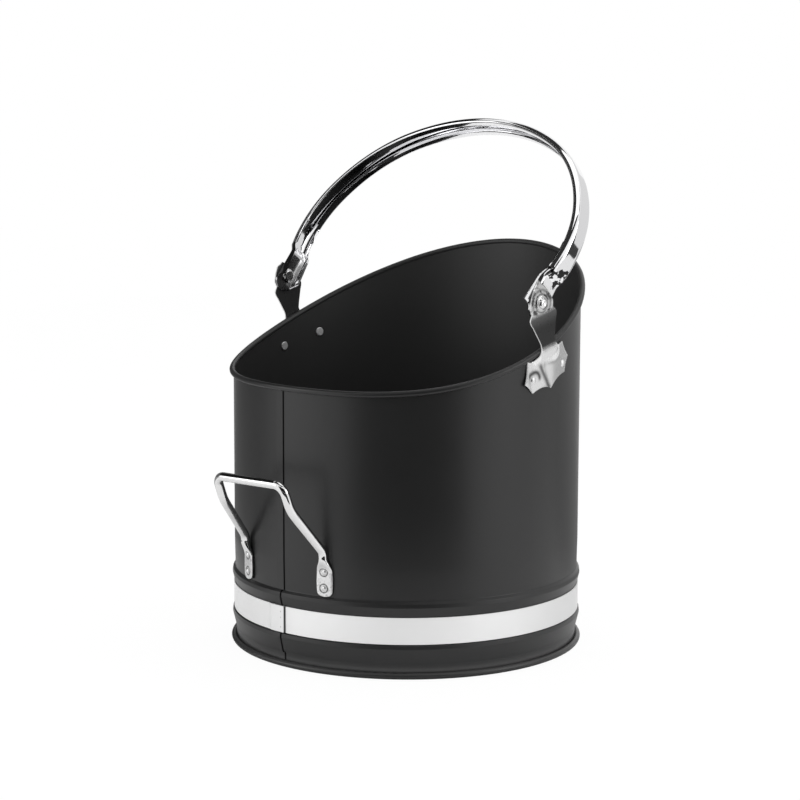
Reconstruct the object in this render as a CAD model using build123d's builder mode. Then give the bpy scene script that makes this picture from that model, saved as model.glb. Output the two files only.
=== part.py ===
from build123d import *
from math import acos, cos, degrees, pi, radians, sin, sqrt, tan
import os

# Log carrier: a round sheet-steel bucket with a scooped rim, a bright trim band between two
# swaged beads, a rear grab handle on the low side and a swinging bail in two riveted ears.
# Millimetres. Z is up, the origin is the middle of the foot ring on the floor, the low side
# with the lock seam and the grab handle faces -Y, and the bail turns about X.

# Bucket wall
body_radius = 165.0
sheet = 0.7
rim_side_height = 291.8
scoop_shares = (0.3844, 0.1440, -0.0468)
rim_wire_radius = 1.85
rim_roll_set = 1.2
wire_play = 0.15

# Foot, beads and band seat, from the floor up
foot_wire_radius = 2.1
foot_roll_set = 0.6
foot_flat = 0.1
waist_height = 13.0
waist_depth = 1.3
low_bead_foot = 18.0
low_bead_peak = 27.5
band_bottom = 32.0
band_height = 25.0
band_sheet = 0.8
high_bead_peak = 66.0
high_bead_top = 69.6
neck_height = 72.0
neck_depth = 0.5
neck_end = 100.0
neck_bend = 100.0
bead_rise = 2.3
bead_shoulder_drop = 0.5
bead_bend = 1.6

# Lock seam and band lap, as lengths along the wall
seam_rise = 0.5
seam_left = 5.0
seam_right = 4.0
seam_right_on_beads = 1.4
seam_groove_width = 1.0
seam_groove_depth = 0.35
lap_left = 11.5
lap_right = 5.7
lap_slope = 4.0
lap_gap = 0.1
band_gap = 0.1
band_play = 0.15

# Floor pan
pan_height = 12.0
pan_sheet = 0.8
pan_bend = 2.4
pan_step = 2.0
pan_step_inset = 46.3
pan_step_run = 5.0
pan_play = 1.9
pan_flange_bottom = 5.5

# Ears
pivot_rise = 45.0
ear_tilt = 13.5
ear_sheet = 1.5
ear_drop_share = 1.8133
ear_head_sink = 1.4
ear_rivet_across_share = 0.2831
ear_rivet_drop_share = 0.8088
joggle_start_share = 0.674
joggle_end_share = 0.576
neck_top_share = 0.4657
head_bend_share = 0.1103
head_top_share = 0.2941
blade_half_share = 0.2574
joggle_half_share = 0.19
joggle_overlap = 3.0
joggle_root_share = 0.8
joggle_cut_share = 0.6434
joggle_steps = 4
head_outline_shares = ((0.0, 0.266), (0.104, 0.158), (0.184, 0.012), (0.189, -0.035), (0.176, -0.086))
shoulder_outline_shares = ((0.216, -0.138), (0.214, -0.185), (0.192, -0.233))
high_neck_shares = ((0.124, -0.417), (0.121, -0.472), (0.138, -0.535), (0.178, -0.580), (0.250, -0.588))
high_corner_shares = ((0.335, -0.562), (0.432, -0.768), (0.315, -0.922), (0.0, -1.0))
high_scallop_shares = ((0.367, -0.660), (0.360, -0.838), (0.148, -0.930))
low_neck_shares = ((0.124, -0.417), (0.114, -0.472), (0.123, -0.523), (0.163, -0.572), (0.239, -0.607))
low_corner_shares = ((0.318, -0.598), (0.428, -0.820), (0.322, -0.954), (0.0, -1.0))
low_scallop_shares = ((0.362, -0.712), (0.368, -0.880), (0.150, -0.940))

# Bail: three tangent arcs a side, given by radius and by the angle from the crown
bail_lean = 38.6
bail_height_share = 1.1897
crown_radius_share = 1.3152
shoulder_radius_share = 0.9139
side_radius_share = 0.7048
crown_half_angle = 25.7
shoulder_end_angle = 64.4
side_end_angle = 100.4
bail_width = 22.6
bail_depth = 7.3
bail_sheet = 1.2
bail_corner = 5.5
bail_lip = 3.2
bail_lip_bend = 1.7
tab_shoulder = 22.0
tab_shoulder_depth = 3.2
tab_shoulder_corner = 1.7
tab_reach = 16.0
tab_side_reach = 8.0
flange_tip_depth = 10.2
flange_tip_height = -3.0
flange_heel_height = -9.0

# Pivots
pivot_radius = 3.0
pivot_clearance = 0.08
pivot_head_radius = 4.9
pivot_head_height = 2.6
pivot_tail_radius = 5.4
pivot_tail_height = 2.0
washer_radius = 7.0
washer_sheet = 0.8
side_play = 0.3

# Grab handle
grab_rod_radius = 3.5
grab_stand_off = 39.3
grab_rise = 62.0
grab_half_width = 44.1
grab_knee_stand_off = 30.2
grab_knee_rise = 39.2
grab_knee_half_width = 44.8
grab_foot_angle = 17.9
grab_bend_shares = (0.922, 0.251, 0.396)
grab_tab_width = 17.0
grab_tab_sheet = 2.4
grab_tab_bottom = 72.6
grab_tab_height = 26.4
grab_tab_corner = 5.5
grab_tab_lap = 0.6
grab_flat_run = 10.6
grab_flat_shares = (0.0, 0.35, 0.7, 1.0)
grab_foot_run = 5.0
grab_rivet_edge = 7.7
grab_rivet_pitch = 15.2

# Small rivets
rivet_radius = 2.0
rivet_head_radius = 3.5
rivet_head_height = 1.7
rivet_tail_radius = 4.2
rivet_tail_height = 1.5
grab_rivet_head_radius = 2.6
grab_rivet_head_height = 1.4
hole_play = 0.02
seat = 0.1
overrun = 20.0

pivot_dimple_share = 0.45
pivot_dimple_depth = 0.8
tail_chamfer_share = 0.35

# Sizes worked out from the ones above
pivot_height = rim_side_height + pivot_rise
ear_drop = pivot_rise * ear_drop_share
ear_rivet_half_pitch = ear_drop * ear_rivet_across_share
ear_rivet_drop = ear_drop * ear_rivet_drop_share
joggle_start = ear_drop * joggle_start_share
joggle_end = ear_drop * joggle_end_share
neck_top = ear_drop * neck_top_share
head_bend = ear_drop * head_bend_share
head_top = ear_drop * head_top_share
blade_half_width = ear_drop * blade_half_share
joggle_half_width = ear_drop * joggle_half_share
joggle_cut = ear_drop * joggle_cut_share
bail_height = body_radius * bail_height_share
crown_radius = body_radius * crown_radius_share
shoulder_radius = body_radius * shoulder_radius_share
side_radius = body_radius * side_radius_share
grab_tab_top = grab_tab_bottom + grab_tab_height
grab_flat_end = grab_tab_top - grab_tab_lap
grab_flat_start = grab_flat_end + grab_flat_run
grab_foot_height = grab_flat_start + grab_foot_run
grab_height = grab_foot_height + grab_rise
grab_knee_height = grab_foot_height + grab_knee_rise
grab_reach = body_radius + grab_stand_off
grab_knee_reach = body_radius + grab_knee_stand_off
grab_rivet_heights = (grab_tab_bottom + grab_rivet_edge, grab_tab_bottom + grab_rivet_edge + grab_rivet_pitch)
rim_steps = 6
scoop_half = body_radius + overrun
wall_inside = body_radius - sheet
pan_radius = wall_inside - pan_play
pan_step_radius = wall_inside - pan_step_inset
rim_roll_outer = rim_wire_radius + wire_play + sheet
rim_roll_radius = body_radius + rim_roll_set
foot_roll_outer = foot_wire_radius + wire_play + sheet
foot_roll_radius = body_radius + foot_roll_set
foot_roll_height = foot_roll_outer - foot_flat
band_top = band_bottom + band_height
bead_radius = body_radius + bead_rise
ear_plate_radius = body_radius + seat
neck_x = rim_roll_radius + rim_roll_outer + side_play
ear_inside_x = neck_x - ear_head_sink
ear_outside_x = ear_inside_x + ear_sheet
tab_outside_x = ear_inside_x - side_play
tab_inside_x = tab_outside_x - bail_sheet
washer_inside_x = tab_inside_x - side_play - washer_sheet
washer_outside_x = ear_outside_x + washer_sheet
tilt = radians(ear_tilt)
lean = radians(bail_lean)
band_radius = body_radius + band_gap
lap_step = band_sheet + lap_gap

ear_plane = Plane(origin=(0, 0, pivot_height), x_dir=(0, cos(tilt), sin(tilt)), z_dir=(1, 0, 0))
bail_plane = Plane(origin=(0, 0, pivot_height), x_dir=(1, 0, 0), z_dir=(0, -cos(lean), sin(lean)))


def rim_height(y):
    """Height of the rolled rim's centre at the depth y."""
    share = y / body_radius
    rise = sum(factor * share ** (power + 1) for power, factor in enumerate(scoop_shares))
    return rim_side_height + body_radius * rise


def rim_slope(y):
    """Slope of the rolled rim at the depth y, seen from the side."""
    share = y / body_radius
    return sum(factor * (power + 1) * share**power for power, factor in enumerate(scoop_shares))


def rim_point(turn):
    """Centre of the rolled rim, turn degrees round from the seam."""
    angle = radians(turn)
    height = rim_height(-body_radius * cos(angle))
    return Vector(rim_roll_radius * sin(angle), -rim_roll_radius * cos(angle), height)


def rim_heading(turn):
    """Unit direction in which the rolled rim runs there."""
    angle = radians(turn)
    climb = rim_slope(-body_radius * cos(angle)) * body_radius * sin(angle)
    return Vector(rim_roll_radius * cos(angle), rim_roll_radius * sin(angle), climb).normalized()


def biarc(start_turn, end_turn):
    """Two tangent arcs that follow the rim from one turn to the next."""
    start, end = rim_point(start_turn), rim_point(end_turn)
    leaving, arriving = rim_heading(start_turn), rim_heading(end_turn)
    chord = end - start
    spread = 2 * (1 - leaving.dot(arriving))
    along = 2 * chord.dot(leaving + arriving)
    reach = (sqrt(along**2 + 4 * spread * chord.dot(chord)) - along) / (2 * spread)
    middle = (start + leaving * reach + end - arriving * reach) * 0.5
    first = TangentArc(start, middle, tangent=leaving)
    TangentArc(middle, end, tangent=first % 1)


def on_wall(radius, turn, height):
    """Plane square to the wall, turn degrees round from the seam, facing out."""
    out = Vector(sin(radians(turn)), -cos(radians(turn)), 0)
    return Plane(
        origin=out * radius + Vector(0, 0, height),
        x_dir=(cos(radians(turn)), sin(radians(turn)), 0),
        z_dir=out,
    )


def outline_points(shares, side):
    """Ear outline points given as shares of the ear's drop, on one side of its middle."""
    return [(across * side * ear_drop, up * ear_drop) for across, up in shares]


def bend_radii(points, shares):
    """Bend radius at each inner point, its tangents being a share of the shorter leg."""
    radii = []
    for before, corner, after, share in zip(points, points[1:], points[2:], shares):
        arriving, leaving = corner - before, after - corner
        turn = radians(arriving.get_angle(leaving))
        radii.append(share * min(arriving.length, leaving.length) / tan(turn / 2))
    return radii


def rivet(label, head_plane, grip, shank, head, tail, dimple):
    """Round rivet: a domed head on head_plane, with a dimple if it has a depth, and a tail beyond grip."""
    head_radius, head_height = head
    tail_radius, tail_height = tail
    chamfer_run = tail_height * tail_chamfer_share
    half_plane = Plane(head_plane.origin, x_dir=head_plane.x_dir, z_dir=head_plane.x_dir.cross(head_plane.z_dir))
    with BuildPart() as body:
        with BuildSketch(half_plane):
            with BuildLine():
                Polyline(
                    (0, head_height - dimple),
                    (0, -grip - tail_height),
                    (tail_radius - chamfer_run, -grip - tail_height),
                    (tail_radius, chamfer_run - grip - tail_height),
                    (tail_radius, -grip),
                    (shank, -grip),
                    (shank, 0),
                    (head_radius, 0),
                )
                crest = (head_radius * pivot_dimple_share, head_height) if dimple else (0, head_height)
                brow = (head_radius * (pivot_dimple_share + 1) / 2, head_height * 0.8)
                dome_radius = (head_radius**2 + head_height**2) / (head_height * 2)
                side = (head_radius / 2, sqrt(dome_radius**2 - head_radius**2 / 4) - dome_radius + head_height)
                ThreePointArc((head_radius, 0), brow if dimple else side, crest)
                if dimple:
                    Line(crest, (0, head_height - dimple))
            make_face()
        revolve(axis=Axis(head_plane.origin, head_plane.z_dir))
    body.part.label = label
    return body.part


def washer(label, face_plane):
    """Flat washer on the pivot, from face_plane outwards."""
    with BuildPart() as ring:
        with BuildSketch(face_plane):
            Circle(washer_radius)
            Circle(pivot_radius + pivot_clearance, mode=Mode.SUBTRACT)
        extrude(amount=washer_sheet)
    ring.part.label = label
    return ring.part


# Bucket wall profile: foot, waist, low bead, band seat, high bead, straight wall
lid_height = rim_height(body_radius) + overrun
wall_points = [
    (foot_roll_radius - foot_roll_outer + sheet, foot_roll_height),
    (body_radius - waist_depth, waist_height),
    (body_radius, low_bead_foot),
    (bead_radius, low_bead_peak),
    (bead_radius - bead_shoulder_drop, band_bottom - bead_bend * 0.7),
    (body_radius, band_bottom),
    (body_radius, band_top),
    (bead_radius, high_bead_peak),
    (bead_radius - bead_shoulder_drop, high_bead_top),
    (body_radius - neck_depth, neck_height),
    (body_radius, neck_end),
    (body_radius, lid_height),
]
wall_bends = [
    bead_bend,
    bead_bend,
    bead_bend,
    bead_bend * 0.4,
    bead_bend * 0.3,
    bead_bend,
    bead_bend,
    bead_bend * 0.5,
    bead_bend * 0.6,
    neck_bend,
]


def wall_band(start, amount):
    """Face between the wall's outer profile and its offset by amount, out when positive."""
    side = Side.RIGHT if amount > 0 else Side.LEFT
    with BuildSketch(start) as band:
        with BuildLine():
            FilletPolyline(wall_points, radius=wall_bends)
            offset(amount=abs(amount), side=side, closed=True)
        make_face()
    return band.sketch


def turned(plane_turn):
    """Upright plane through the axis, with its x pointing out at plane_turn degrees from the seam."""
    out = (sin(radians(plane_turn)), -cos(radians(plane_turn)), 0)
    side = Vector(*out).cross(Vector(0, 0, 1))
    return Plane(origin=(0, 0, 0), x_dir=out, z_dir=side)


def arc_turn(length):
    """Turn in degrees of a length along the wall."""
    return degrees(length / body_radius)


def seam_band(left, right, amount, bottom, top):
    """Band on the wall between two lengths from the seam and two heights."""
    with BuildPart() as band:
        add(wall_band(turned(arc_turn(left)), amount))
        revolve(axis=Axis.Z, revolution_arc=arc_turn(right - left))
        with BuildSketch(Plane.XY.offset(bottom)):
            Circle(bead_radius + overrun)
        extrude(amount=top - bottom, mode=Mode.INTERSECT)
    return band.part


def ear_rivet_spot(side, across):
    """Turn and height of an ear rivet, side being 1 for the +X ear and -1 for the other."""
    depth = across * cos(tilt) + ear_rivet_drop * sin(tilt)
    height = pivot_height + across * sin(tilt) - ear_rivet_drop * cos(tilt)
    return side * degrees(acos(-depth / body_radius)), height


def ear_face_x(across, up, lift):
    """Distance of the ear blade's inner (lift 0) or outer (lift 1) face from the middle plane."""
    depth = across * cos(tilt) - up * sin(tilt)
    radius = ear_plate_radius + seat / 2 + lift * ear_sheet
    on_plate = sqrt(radius**2 - depth**2)
    joggle_share = min(max((up + joggle_start) / (joggle_start - joggle_end), 0), 1)
    ease = (1 - cos(pi * joggle_share)) / 2
    head_share = min(max((up + neck_top) / (neck_top - head_bend), 0), 1)
    on_blade = neck_x - ear_head_sink * head_share + lift * ear_sheet
    return on_plate + (on_blade - on_plate) * ease


def channel(plane, depth, corner, lip):
    """Channel section on a plane, its back through the origin, its lips turned in when lip is set."""
    half = bail_width / 2
    points = [(half, -depth), (half, 0), (-half, 0), (-half, -depth)]
    bends = [corner, corner]
    if lip:
        points = [(half - lip, -depth)] + points + [(lip - half, -depth)]
        bends = [bail_lip_bend] + bends + [bail_lip_bend]
    with BuildSketch(plane) as section:
        with BuildLine():
            FilletPolyline(points, radius=bends)
            offset(amount=bail_sheet, side=Side.LEFT, closed=True)
        make_face()
    return section.sketch


ear_spots = [ear_rivet_spot(side, across) for side in (1, -1) for across in (-ear_rivet_half_pitch, ear_rivet_half_pitch)]
grab_spots = [(side * grab_foot_angle, height) for side in (1, -1) for height in grab_rivet_heights]

# Rolled rim: a sheet tube round the rim wire, made as one half and mirrored
with BuildLine() as rim_path:
    for step in range(rim_steps):
        biarc(step * 180 / rim_steps, (step + 1) * 180 / rim_steps)
rim_start = Plane(origin=rim_path.line @ 0, z_dir=rim_path.line % 0)

with BuildPart() as rim_roll:
    with BuildSketch(rim_start):
        Circle(rim_roll_outer)
    sweep(path=rim_path.line)
    mirror(about=Plane.YZ)

with BuildPart() as rim_bore:
    with BuildSketch(rim_start):
        Circle(rim_roll_outer - sheet)
    sweep(path=rim_path.line)
    mirror(about=Plane.YZ)

with BuildPart() as rim_wire:
    with BuildSketch(rim_start):
        Circle(rim_wire_radius)
    sweep(path=rim_path.line)
    mirror(about=Plane.YZ)
rim_wire.part.label = "rim_wire"

# Everything above the scoop; the wall ends inside the rolled rim
with BuildPart() as above_scoop:
    with BuildSketch(Plane.YZ):
        with BuildLine():
            depths = [scoop_half * (step / 5 - 1) for step in range(11)]
            Spline([(depth, rim_height(depth)) for depth in depths])
            Polyline(
                (scoop_half, rim_height(scoop_half)),
                (scoop_half, lid_height + overrun),
                (-scoop_half, lid_height + overrun),
                (-scoop_half, rim_height(-scoop_half)),
            )
        make_face()
    extrude(amount=scoop_half, both=True)

# The seam's groove runs down beside the raised strip and jogs in to cross the beads
groove_end = seam_right + seam_groove_width
bead_groove_end = seam_right_on_beads + seam_groove_width
groove_runs = [
    (seam_right, groove_end, neck_height - seam_groove_width, lid_height),
    (seam_right_on_beads, groove_end, neck_height - seam_groove_width, neck_height),
    (seam_right_on_beads, bead_groove_end, band_top, neck_height),
    (seam_right_on_beads, bead_groove_end, waist_height, band_bottom),
    (seam_right_on_beads, groove_end, waist_height, waist_height + seam_groove_width),
    (seam_right, groove_end, foot_roll_height + foot_roll_outer, waist_height + seam_groove_width),
]

# Bucket wall: one rolled sheet with its lock seam, wired rim and rolled foot
with BuildPart() as body_shell:
    add(wall_band(turned(0), -sheet))
    revolve(axis=Axis.Z)
    add(seam_band(-seam_left, seam_right, seam_rise, neck_height, lid_height))
    add(seam_band(-seam_left, seam_right_on_beads, seam_rise, band_top, neck_height))
    add(seam_band(-seam_left, seam_right_on_beads, seam_rise, waist_height, band_bottom))
    add(seam_band(-seam_left, seam_right, seam_rise, foot_roll_height + foot_roll_outer, waist_height))
    for left, right, bottom, top in groove_runs:
        add(seam_band(left, right, -seam_groove_depth, bottom, top), mode=Mode.SUBTRACT)
    add(above_scoop.part, mode=Mode.SUBTRACT)
    add(rim_roll.part)
    add(rim_bore.part, mode=Mode.SUBTRACT)
    with BuildSketch(turned(0)):
        with Locations((foot_roll_radius, foot_roll_height)):
            Circle(foot_roll_outer)
            Circle(foot_roll_outer - sheet, mode=Mode.SUBTRACT)
    revolve(axis=Axis.Z)
    with BuildSketch(Plane.XY):
        Circle(foot_roll_radius + overrun)
    extrude(amount=-overrun, mode=Mode.SUBTRACT)
    for turn, height in ear_spots + grab_spots:
        with BuildSketch(on_wall(body_radius + overrun, turn, height)):
            Circle(rivet_radius + hole_play)
        extrude(amount=-overrun - overrun, mode=Mode.SUBTRACT)
body_shell.part.label = "body_shell"

with BuildPart() as foot_wire:
    with BuildSketch(turned(0)):
        with Locations((foot_roll_radius, foot_roll_height)):
            Circle(foot_wire_radius)
    revolve(axis=Axis.Z)
foot_wire.part.label = "foot_wire"

# Floor pan: pressed disc with one step, its flange turned down inside the wall
with BuildPart() as base_pan:
    with BuildSketch(Plane.XZ):
        with BuildLine():
            FilletPolyline(
                [
                    (0, pan_height + pan_step),
                    (pan_step_radius, pan_height + pan_step),
                    (pan_step_radius + pan_step_run, pan_height),
                    (pan_radius, pan_height),
                    (pan_radius, pan_flange_bottom),
                ],
                radius=[pan_bend, pan_bend, pan_bend],
            )
            offset(amount=pan_sheet, side=Side.RIGHT, closed=True)
        make_face()
    revolve(axis=Axis.Z)
base_pan.part.label = "base_pan"

# Trim band: one strip bent round the seat, its end lapped over its start beside the seam
under_end = -arc_turn(lap_left)
slope_end = under_end - arc_turn(seat + seat)
slope_start = slope_end - arc_turn(lap_slope)
over_end = arc_turn(lap_right)
with BuildPart() as trim_band:
    with BuildSketch(Plane.XY.offset(band_bottom + band_play)):
        with BuildLine():
            under = CenterArc((0, 0), band_radius, under_end - 90, slope_start - under_end + 360)
            over = CenterArc((0, 0), band_radius + lap_step, slope_end - 90, over_end - slope_end)
            Line(under @ 1, over @ 0)
            outer = CenterArc((0, 0), band_radius + lap_step + band_sheet, over_end - 90, slope_end - over_end)
            Line(over @ 1, outer @ 0)
            back = CenterArc((0, 0), band_radius + band_sheet, slope_start - 90, under_end - slope_start - 360)
            Line(outer @ 1, back @ 0)
            Line(back @ 1, under @ 0)
        make_face()
    extrude(amount=band_height - band_play - band_play)
trim_band.part.label = "trim_band"

# Ear: a pressed plate on the wall, joggled out over the rim and up to the pivot
with BuildPart() as ear_blank:
    with BuildSketch(ear_plane):
        with BuildLine():
            for side, neck_shares, corner_shares, scallop_shares in (
                (1, high_neck_shares, high_corner_shares, high_scallop_shares),
                (-1, low_neck_shares, low_corner_shares, low_scallop_shares),
            ):
                head_edge = Spline(outline_points(head_outline_shares, side))
                shoulder = Spline([head_edge @ 1] + outline_points(shoulder_outline_shares, side))
                corners = outline_points(corner_shares, side)
                neck = Spline(outline_points(neck_shares, side) + corners[:1])
                Line(shoulder @ 1, neck @ 0)
                scallops = outline_points(scallop_shares, side)
                for first, middle, last in zip(corners, scallops, corners[1:]):
                    ThreePointArc(first, middle, last)
        make_face()
    extrude(amount=body_radius + overrun)

joggle_run = joggle_start - joggle_end
blade_stations = [-joggle_start - joggle_overlap]
blade_stations += [joggle_run * step / joggle_steps - joggle_start for step in range(joggle_steps + 1)]
blade_stations += [-neck_top, -head_bend, head_top]
with BuildPart() as ear_blade:
    for up in blade_stations:
        half = joggle_half_width if up < -neck_top else blade_half_width
        lift = joggle_root_share if up < -joggle_start else 1
        rise = ear_plane.y_dir * up
        with BuildSketch(Plane(origin=ear_plane.origin + rise, x_dir=(1, 0, 0), z_dir=ear_plane.y_dir)):
            with BuildLine():
                inner = Spline([(ear_face_x(across, up, 0), across) for across in (-half, 0, half)])
                outer = Spline([(ear_face_x(across, up, lift), across) for across in (-half, 0, half)])
                Line(inner @ 0, outer @ 0)
                Line(inner @ 1, outer @ 1)
            make_face()
    loft(ruled=True)
    add(ear_blank.part, mode=Mode.INTERSECT)

with BuildPart() as ear_right:
    with BuildSketch(Plane.XY.offset(pivot_height - ear_drop - overrun)):
        Circle(ear_plate_radius + ear_sheet)
        Circle(ear_plate_radius, mode=Mode.SUBTRACT)
    extrude(amount=ear_drop + overrun - neck_top)
    add(ear_blank.part, mode=Mode.INTERSECT)
    with BuildSketch(ear_plane):
        with Locations((0, -joggle_cut)):
            Rectangle(
                joggle_half_width + joggle_half_width - seat,
                joggle_cut,
                align=(Align.CENTER, Align.MIN),
            )
    extrude(amount=body_radius + overrun, mode=Mode.SUBTRACT)
    add(ear_blade.part)
    with BuildSketch(ear_plane):
        Circle(pivot_radius + hole_play)
    extrude(amount=body_radius + overrun, mode=Mode.SUBTRACT)
    for turn, height in ear_spots[:2]:
        with BuildSketch(on_wall(body_radius - overrun, turn, height)):
            Circle(rivet_radius + hole_play)
        extrude(amount=overrun + overrun, mode=Mode.SUBTRACT)
ear_right.part.label = "ear_right"

with BuildPart() as ear_left:
    mirror(ear_right.part, about=Plane.YZ)
ear_left.part.label = "ear_left"

# Bail: a rolled channel in three tangent arcs a side, flattened at each end into a pivot tab
with BuildLine(bail_plane) as bail_path:
    crown = JernArc((0, bail_height), (1, 0), crown_radius, -crown_half_angle)
    shoulder = JernArc(crown @ 1, crown % 1, shoulder_radius, crown_half_angle - shoulder_end_angle)
    JernArc(shoulder @ 1, shoulder % 1, side_radius, shoulder_end_angle - side_end_angle)
arch = bail_path.line
arch_start = Plane(origin=arch @ 0, x_dir=-bail_plane.z_dir, z_dir=arch % 0)
arch_end = Plane(origin=arch @ 1, x_dir=-bail_plane.z_dir, z_dir=arch % 1)
tab_plane = Plane(origin=(tab_inside_x, 0, pivot_height), x_dir=-bail_plane.z_dir, z_dir=(1, 0, 0))
tab_top = Plane(
    origin=bail_plane.from_local_coords(Vector(tab_outside_x, tab_shoulder)),
    x_dir=-bail_plane.z_dir,
    z_dir=-bail_plane.y_dir,
)
bail_half = bail_width / 2
with BuildPart() as bail:
    add(channel(arch_start, bail_depth, bail_corner, bail_lip))
    sweep(path=arch)
    with BuildPart(mode=Mode.PRIVATE) as bail_end:
        add(channel(arch_end, bail_depth, bail_corner, 0))
        add(channel(tab_top, tab_shoulder_depth, tab_shoulder_corner, 0))
        loft(ruled=True)
    add(bail_end.part)
    with BuildSketch(tab_plane):
        with BuildLine():
            Polyline(
                (-bail_half, -tab_side_reach),
                (-bail_half, tab_shoulder),
                (bail_half, tab_shoulder),
                (bail_half, -tab_side_reach),
            )
            ThreePointArc((bail_half, -tab_side_reach), (0, -tab_reach), (-bail_half, -tab_side_reach))
        make_face()
        Circle(pivot_radius + pivot_clearance, mode=Mode.SUBTRACT)
    extrude(amount=bail_sheet)
    for flange_start in (-bail_half, bail_half - bail_sheet):
        with BuildSketch(bail_plane.offset(flange_start)):
            with BuildLine():
                Polyline(
                    (tab_outside_x, tab_shoulder),
                    (tab_outside_x - tab_shoulder_depth, tab_shoulder),
                    (tab_outside_x - flange_tip_depth, flange_tip_height),
                    (tab_outside_x, flange_heel_height),
                    close=True,
                )
            make_face()
        extrude(amount=bail_sheet)
    mirror(about=Plane.YZ)
bail.part.label = "bail"


def grab_foot(radius, height):
    """Point on the line of the grab handle's right foot."""
    angle = radians(grab_foot_angle)
    return Vector(radius * sin(angle), -radius * cos(angle), height)


# Grab handle: a bent rod with flattened feet that are riveted to the wall
grab_foot_radius = body_radius + seat + seat + grab_rod_radius
grab_tab_inner = body_radius + seat
grab_points = [
    grab_foot(grab_foot_radius, grab_flat_start),
    grab_foot(grab_foot_radius, grab_foot_height),
    Vector(grab_knee_half_width, -grab_knee_reach, grab_knee_height),
    Vector(grab_half_width, -grab_reach, grab_height),
    Vector(0, -grab_reach, grab_height),
]
with BuildLine() as grab_path:
    FilletPolyline(grab_points, radius=bend_radii(grab_points, grab_bend_shares))
tangent_x = (cos(radians(grab_foot_angle)), sin(radians(grab_foot_angle)), 0)
with BuildPart() as grab_handle:
    with BuildSketch(Plane(origin=grab_path.line @ 0, x_dir=tangent_x, z_dir=grab_path.line % 0)):
        Circle(grab_rod_radius)
    sweep(path=grab_path.line)
    with BuildPart(mode=Mode.PRIVATE) as grab_flat:
        for share in grab_flat_shares:
            middle = grab_foot_radius + (grab_tab_inner + grab_tab_sheet / 2 - grab_foot_radius) * share
            height = grab_flat_start + (grab_flat_end - grab_flat_start) * share
            half_width = grab_rod_radius + (grab_tab_width / 2 - seat - grab_rod_radius) * share
            half_sheet = grab_rod_radius + (grab_tab_sheet / 2 - seat / 2 - grab_rod_radius) * share
            with BuildSketch(Plane(origin=grab_foot(middle, height), x_dir=tangent_x, z_dir=(0, 0, 1))):
                if share:
                    Ellipse(half_width, half_sheet)
                else:
                    Circle(grab_rod_radius)
        loft()
    add(grab_flat.part)
    with BuildPart(mode=Mode.PRIVATE) as grab_tab:
        with BuildSketch(on_wall(body_radius - overrun, grab_foot_angle, grab_tab_bottom)) as tab_face:
            Rectangle(grab_tab_width, grab_tab_top - grab_tab_bottom, align=(Align.CENTER, Align.MIN))
            fillet(tab_face.vertices().group_by(Axis.Y)[0], grab_tab_corner)
        extrude(amount=overrun + overrun)
        with BuildSketch(Plane.XY):
            Circle(grab_tab_inner + grab_tab_sheet)
            Circle(grab_tab_inner, mode=Mode.SUBTRACT)
        extrude(amount=grab_height, mode=Mode.INTERSECT)
    add(grab_tab.part)
    for turn, height in grab_spots[:2]:
        with BuildSketch(on_wall(body_radius - overrun, turn, height)):
            Circle(rivet_radius + hole_play)
        extrude(amount=overrun + overrun, mode=Mode.SUBTRACT)
    mirror(about=Plane.YZ)
grab_handle.part.label = "grab_handle"

pieces = [body_shell, rim_wire, foot_wire, base_pan, trim_band, ear_right, ear_left, bail, grab_handle]
finished = [piece.part for piece in pieces]

# Pivots: a shouldered rivet through inner washer, bail tab, ear and outer washer on each side
for side, name in ((1, "right"), (-1, "left")):
    outward = (side, 0, 0)
    head_plane = Plane(origin=(side * (washer_outside_x + seat), 0, pivot_height), z_dir=outward)
    grip = washer_outside_x + seat - washer_inside_x + seat
    head = (pivot_head_radius, pivot_head_height)
    tail = (pivot_tail_radius, pivot_tail_height)
    finished.append(rivet("pivot_" + name, head_plane, grip, pivot_radius, head, tail, pivot_dimple_depth))
    inner_face = Plane(origin=(side * washer_inside_x, 0, pivot_height), z_dir=outward)
    finished.append(washer("inner_washer_" + name, inner_face))
    outer_face = Plane(origin=(side * ear_outside_x, 0, pivot_height), z_dir=outward)
    finished.append(washer("outer_washer_" + name, outer_face))

# Small rivets: two through each ear plate and two through each foot of the grab handle
ear_rivet_names = ("ear_rivet_right_low", "ear_rivet_right_high", "ear_rivet_left_low", "ear_rivet_left_high")
for name, (turn, height) in zip(ear_rivet_names, ear_spots):
    head_plane = on_wall(ear_plate_radius + ear_sheet + seat, turn, height)
    grip = ear_plate_radius + ear_sheet + seat - wall_inside + seat
    head = (rivet_head_radius, rivet_head_height)
    finished.append(rivet(name, head_plane, grip, rivet_radius, head, (rivet_tail_radius, rivet_tail_height), 0))

grab_rivet_names = ("grab_rivet_right_low", "grab_rivet_right_high", "grab_rivet_left_low", "grab_rivet_left_high")
for name, (turn, height) in zip(grab_rivet_names, grab_spots):
    head_plane = on_wall(grab_tab_inner + grab_tab_sheet + seat, turn, height)
    neck_in = neck_depth * (neck_end - height + rivet_tail_radius) / (neck_end - neck_height)
    grip = grab_tab_inner + grab_tab_sheet + seat - wall_inside + neck_in + seat
    head = (grab_rivet_head_radius, grab_rivet_head_height)
    finished.append(rivet(name, head_plane, grip, rivet_radius, head, (rivet_tail_radius, rivet_tail_height), 0))

os.makedirs("parts", exist_ok=True)
for part in finished:
    export_step(part, "parts/" + part.label + ".step")
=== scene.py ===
import math

import bpy
from mathutils import Matrix, Vector


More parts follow.
